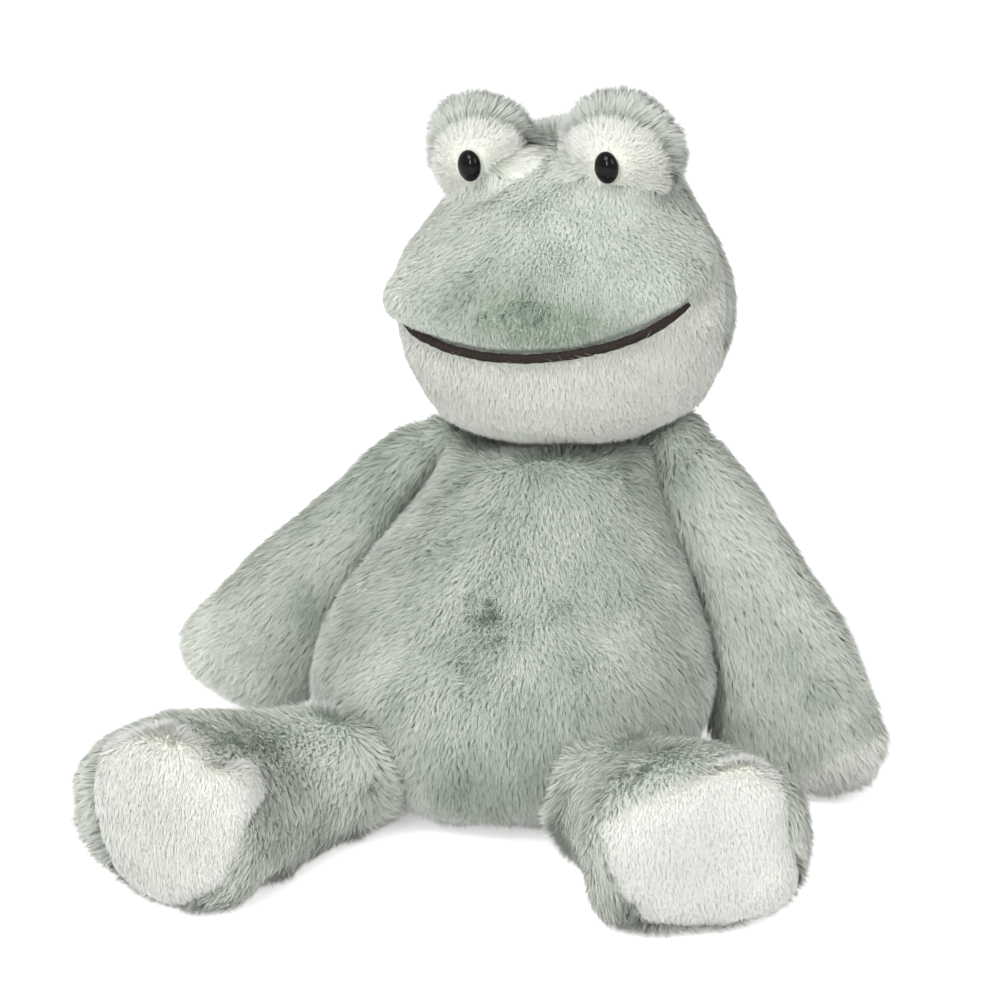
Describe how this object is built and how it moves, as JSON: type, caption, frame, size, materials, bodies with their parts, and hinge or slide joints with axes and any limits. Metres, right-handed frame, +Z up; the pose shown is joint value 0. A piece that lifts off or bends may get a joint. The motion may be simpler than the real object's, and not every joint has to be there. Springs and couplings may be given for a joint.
{
  "type": "plush frog",
  "caption": "Sitting long-pile plush frog with a soft pear-shaped body, floppy arms, stuffed legs, raised eye bumps with glossy safety eyes, a corded smile and pale soles.",
  "frame": {"origin": "middle of the outline's bottom, on the surface that the toy sits on", "axes": "+Z up, -Y the way that the body faces, +X towards the toy's left hand"},
  "size_m": [0.341, 0.2872, 0.3218],
  "materials": {
    "body_plush": "long pile",
    "head_plush": "long pile",
    "white_plush": "long pile",
    "mouth_cord": "matt",
    "eye_plastic": "gloss",
    "washer_nylon": "matt",
    "fibre_filling": "loose fibre",
    "pouch_calico": "matt"
  },
  "bodies": {
    "torso": {"torso_front": "body_plush", "torso_back": "body_plush", "torso_filling": "fibre_filling", "pellet_pouch": "pouch_calico"},
    "neck": {"neck_gather": "body_plush"},
    "head": {"head_crown": "head_plush", "head_back": "body_plush", "head_jaw": "white_plush", "mouth_cord": "mouth_cord", "head_filling": "fibre_filling", "eye_rim_left": "body_plush", "eye_white_left": "white_plush", "eye_filling_left": "fibre_filling", "safety_eye_left": "eye_plastic", "eye_washer_left": "washer_nylon", "eye_rim_right": "body_plush", "eye_white_right": "white_plush", "eye_filling_right": "fibre_filling", "safety_eye_right": "eye_plastic", "eye_washer_right": "washer_nylon"},
    "shoulder_left": {"shoulder_gather_left": "body_plush"},
    "arm_left": {"arm_cover_left": "body_plush", "palm_left": "white_plush", "arm_filling_left": "fibre_filling"},
    "shoulder_right": {"shoulder_gather_right": "body_plush"},
    "arm_right": {"arm_cover_right": "body_plush", "palm_right": "white_plush", "arm_filling_right": "fibre_filling"},
    "leg_left": {"leg_cover_left": "body_plush", "sole_left": "white_plush", "leg_filling_left": "fibre_filling"},
    "leg_right": {"leg_cover_right": "body_plush", "sole_right": "white_plush", "leg_filling_right": "fibre_filling"}
  },
  "joints": [
    {"name": "head_turn", "type": "hinge", "parent": "torso", "child": "neck", "pos_m": [0.00891, 0.07631, 0.175], "axis": [0, 0, 1], "range_deg": [-30, 30]},
    {"name": "head_nod", "type": "hinge", "parent": "neck", "child": "head", "pos_m": [0.00891, 0.07631, 0.175], "axis": [1, 0, 0], "range_deg": [-10, 10], "stiffness_Nm_per_rad": 1},
    {"name": "left_arm_swing", "type": "hinge", "parent": "torso", "child": "shoulder_left", "pos_m": [0.06391, 0.07631, 0.151], "axis": [-1, 0, 0], "range_deg": [-45, 15]},
    {"name": "left_arm_raise", "type": "hinge", "parent": "shoulder_left", "child": "arm_left", "pos_m": [0.06391, 0.07631, 0.151], "axis": [0, -1, 0], "range_deg": [0, 60]},
    {"name": "right_arm_swing", "type": "hinge", "parent": "torso", "child": "shoulder_right", "pos_m": [-0.04609, 0.07631, 0.149], "axis": [-1, 0, 0], "range_deg": [-45, 15]},
    {"name": "right_arm_raise", "type": "hinge", "parent": "shoulder_right", "child": "arm_right", "pos_m": [-0.04609, 0.07631, 0.149], "axis": [0, 1, 0], "range_deg": [0, 50]},
    {"name": "left_leg_lift", "type": "hinge", "parent": "torso", "child": "leg_left", "pos_m": [0.05591, -0.03569, 0.05], "axis": [-0.6157, -0.788, 0], "range_deg": [0, 50]},
    {"name": "right_leg_lift", "type": "hinge", "parent": "torso", "child": "leg_right", "pos_m": [-0.06909, -0.03569, 0.05], "axis": [-0.5, 0.866, 0], "range_deg": [0, 50]}
  ]
}
